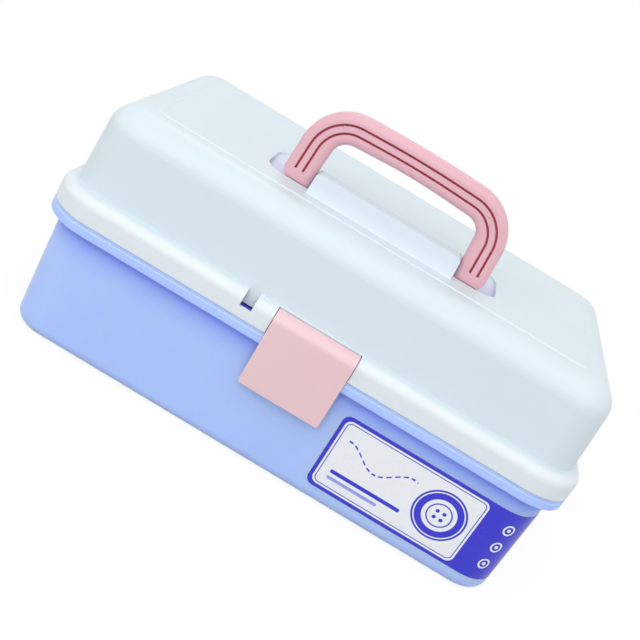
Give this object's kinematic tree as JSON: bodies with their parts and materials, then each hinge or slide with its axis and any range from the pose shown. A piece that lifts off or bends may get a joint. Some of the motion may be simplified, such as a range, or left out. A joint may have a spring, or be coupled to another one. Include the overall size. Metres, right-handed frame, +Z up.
{
  "type": "sewing box with trays",
  "caption": "Lidded plastic sewing box with a folding carry handle, a front latch and cantilever trays that lift out as the lid opens.",
  "frame": {"origin": "centre of the overall box at the floor it stands on, lid closed and handle up", "axes": "+X along the length to the right, -Y to the latch side, +Z up"},
  "size_m": [0.319, 0.1978, 0.1878],
  "materials": {
    "base_blue": "satin moulded plastic",
    "lid_white": "satin moulded plastic",
    "trim_pink": "fine moulded satin",
    "tray_blue": "moulded plastic",
    "link_white": "moulded plastic",
    "pin_steel": "drawn wire",
    "label": "printed film"
  },
  "bodies": {
    "base": {"base_tub": "base_blue", "hinge_pin_left": "pin_steel", "hinge_pin_right": "pin_steel", "base_arm_pins": "pin_steel", "label_sticker": "label"},
    "lid": {"lid_shell": "lid_white", "handle_pins": "pin_steel", "latch_pin": "pin_steel", "lid_pins": "pin_steel"},
    "handle": {"carry_handle": "trim_pink"},
    "latch": {"latch": "trim_pink"},
    "lower_tray": {"lower_tray": "tray_blue", "lower_tray_arm_pins": "pin_steel", "lower_tray_link_pins": "pin_steel"},
    "upper_tray": {"upper_tray": "tray_blue", "upper_tray_link_pins": "pin_steel"},
    "long_arm_rear_left": {"long_arm_rear_left": "link_white"},
    "long_arm_rear_right": {"long_arm_rear_right": "link_white"},
    "long_arm_front_left": {"long_arm_front_left": "link_white"},
    "long_arm_front_right": {"long_arm_front_right": "link_white"},
    "short_link_rear_left": {"short_link_rear_left": "link_white"},
    "short_link_rear_right": {"short_link_rear_right": "link_white"},
    "short_link_front_left": {"short_link_front_left": "link_white"},
    "short_link_front_right": {"short_link_front_right": "link_white"}
  },
  "joints": [
    {"name": "lid_hinge", "type": "hinge", "parent": "base", "child": "lid", "pos_m": [0, 0.094, 0.0805], "axis": [-1, 0, 0], "range_deg": [0, 110]},
    {"name": "handle_fold", "type": "hinge", "parent": "lid", "child": "handle", "pos_m": [0, -0.039, 0.1448], "axis": [-1, 0, 0], "range_deg": [0, 90]},
    {"name": "latch_flip", "type": "hinge", "parent": "lid", "child": "latch", "pos_m": [0, -0.0925, 0.083], "axis": [-1, 0, 0], "range_deg": [0, 110]},
    {"name": "arm_rear_left_turn", "type": "hinge", "parent": "base", "child": "long_arm_rear_left", "pos_m": [-0.14725, 0.066, 0.0655], "axis": [-1, 0, 0], "range_deg": [0, 110]},
    {"name": "arm_rear_right_turn", "type": "hinge", "parent": "base", "child": "long_arm_rear_right", "pos_m": [0.14725, 0.066, 0.0655], "axis": [-1, 0, 0], "range_deg": [0, 110]},
    {"name": "arm_front_left_turn", "type": "hinge", "parent": "base", "child": "long_arm_front_left", "pos_m": [-0.14725, 0.002, 0.0655], "axis": [-1, 0, 0], "range_deg": [0, 110]},
    {"name": "arm_front_right_turn", "type": "hinge", "parent": "base", "child": "long_arm_front_right", "pos_m": [0.14725, 0.002, 0.0655], "axis": [-1, 0, 0], "range_deg": [0, 110]},
    {"name": "lower_tray_level", "type": "hinge", "parent": "long_arm_rear_left", "child": "lower_tray", "pos_m": [-0.14725, 0.02841, 0.05182], "axis": [-1, 0, 0], "range_deg": [-110, 0]},
    {"name": "link_rear_left_turn", "type": "hinge", "parent": "lower_tray", "child": "short_link_rear_left", "pos_m": [-0.1442, 0.03, 0.0665], "axis": [-1, 0, 0], "range_deg": [0, 110]},
    {"name": "link_rear_right_turn", "type": "hinge", "parent": "lower_tray", "child": "short_link_rear_right", "pos_m": [0.1442, 0.03, 0.0665], "axis": [-1, 0, 0], "range_deg": [0, 110]},
    {"name": "link_front_left_turn", "type": "hinge", "parent": "lower_tray", "child": "short_link_front_left", "pos_m": [-0.1442, -0.046, 0.0665], "axis": [-1, 0, 0], "range_deg": [0, 110]},
    {"name": "link_front_right_turn", "type": "hinge", "parent": "lower_tray", "child": "short_link_front_right", "pos_m": [0.1442, -0.046, 0.0665], "axis": [-1, 0, 0], "range_deg": [0, 110]},
    {"name": "upper_tray_level", "type": "hinge", "parent": "short_link_rear_left", "child": "upper_tray", "pos_m": [-0.1442, 0.00759, 0.08018], "axis": [-1, 0, 0], "range_deg": [-110, 0]}
  ],
  "couplings": [
    {"joint": "arm_rear_left_turn", "follows": "lid_hinge", "ratio": 1},
    {"joint": "arm_rear_right_turn", "follows": "lid_hinge", "ratio": 1},
    {"joint": "arm_front_left_turn", "follows": "lid_hinge", "ratio": 1},
    {"joint": "arm_front_right_turn", "follows": "lid_hinge", "ratio": 1},
    {"joint": "lower_tray_level", "follows": "lid_hinge", "ratio": -1},
    {"joint": "link_rear_left_turn", "follows": "lid_hinge", "ratio": 1},
    {"joint": "link_rear_right_turn", "follows": "lid_hinge", "ratio": 1},
    {"joint": "link_front_left_turn", "follows": "lid_hinge", "ratio": 1},
    {"joint": "link_front_right_turn", "follows": "lid_hinge", "ratio": 1},
    {"joint": "upper_tray_level", "follows": "lid_hinge", "ratio": -1}
  ]
}
